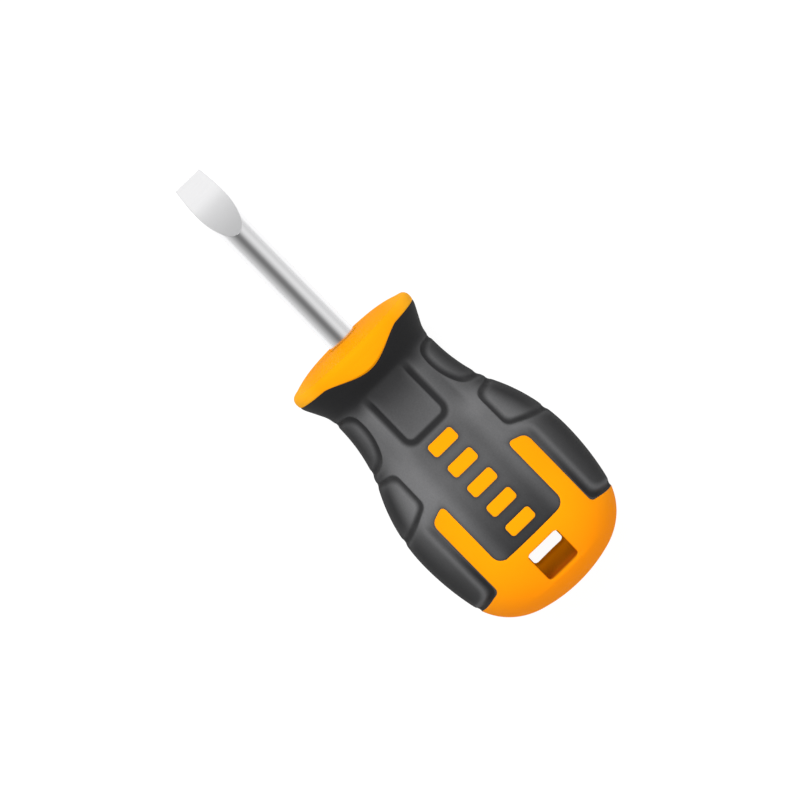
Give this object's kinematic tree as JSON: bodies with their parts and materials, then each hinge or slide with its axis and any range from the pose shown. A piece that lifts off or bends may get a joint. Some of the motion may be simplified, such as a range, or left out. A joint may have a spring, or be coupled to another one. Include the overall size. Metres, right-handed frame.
{
  "type": "stubby slotted screwdriver",
  "caption": "Short fixed-blade slotted screwdriver with a flared tip, a guard, a waisted two-material moulded handle and a hanging hole through the butt.",
  "frame": {"origin": "centre of the driving tip's end face, on the tool's axis", "axes": "+X along the tool from the driving tip to the butt, +Y across the blade's width, +Z square to the blade's flat and out of the handle face that carries the bars; the tool lies on its back"},
  "size_m": [0.0962, 0.0344, 0.0322],
  "materials": {
    "chrome_steel": "bright plated shaft, satin ground tip",
    "core_plastic": "as moulded, hidden",
    "hard_plastic": "satin moulded",
    "soft_plastic": "fine matte texture"
  },
  "bodies": {
    "root": {"blade": "chrome_steel", "inner_core": "core_plastic", "handle_body": "hard_plastic", "soft_grip": "soft_plastic"}
  },
  "joints": []
}
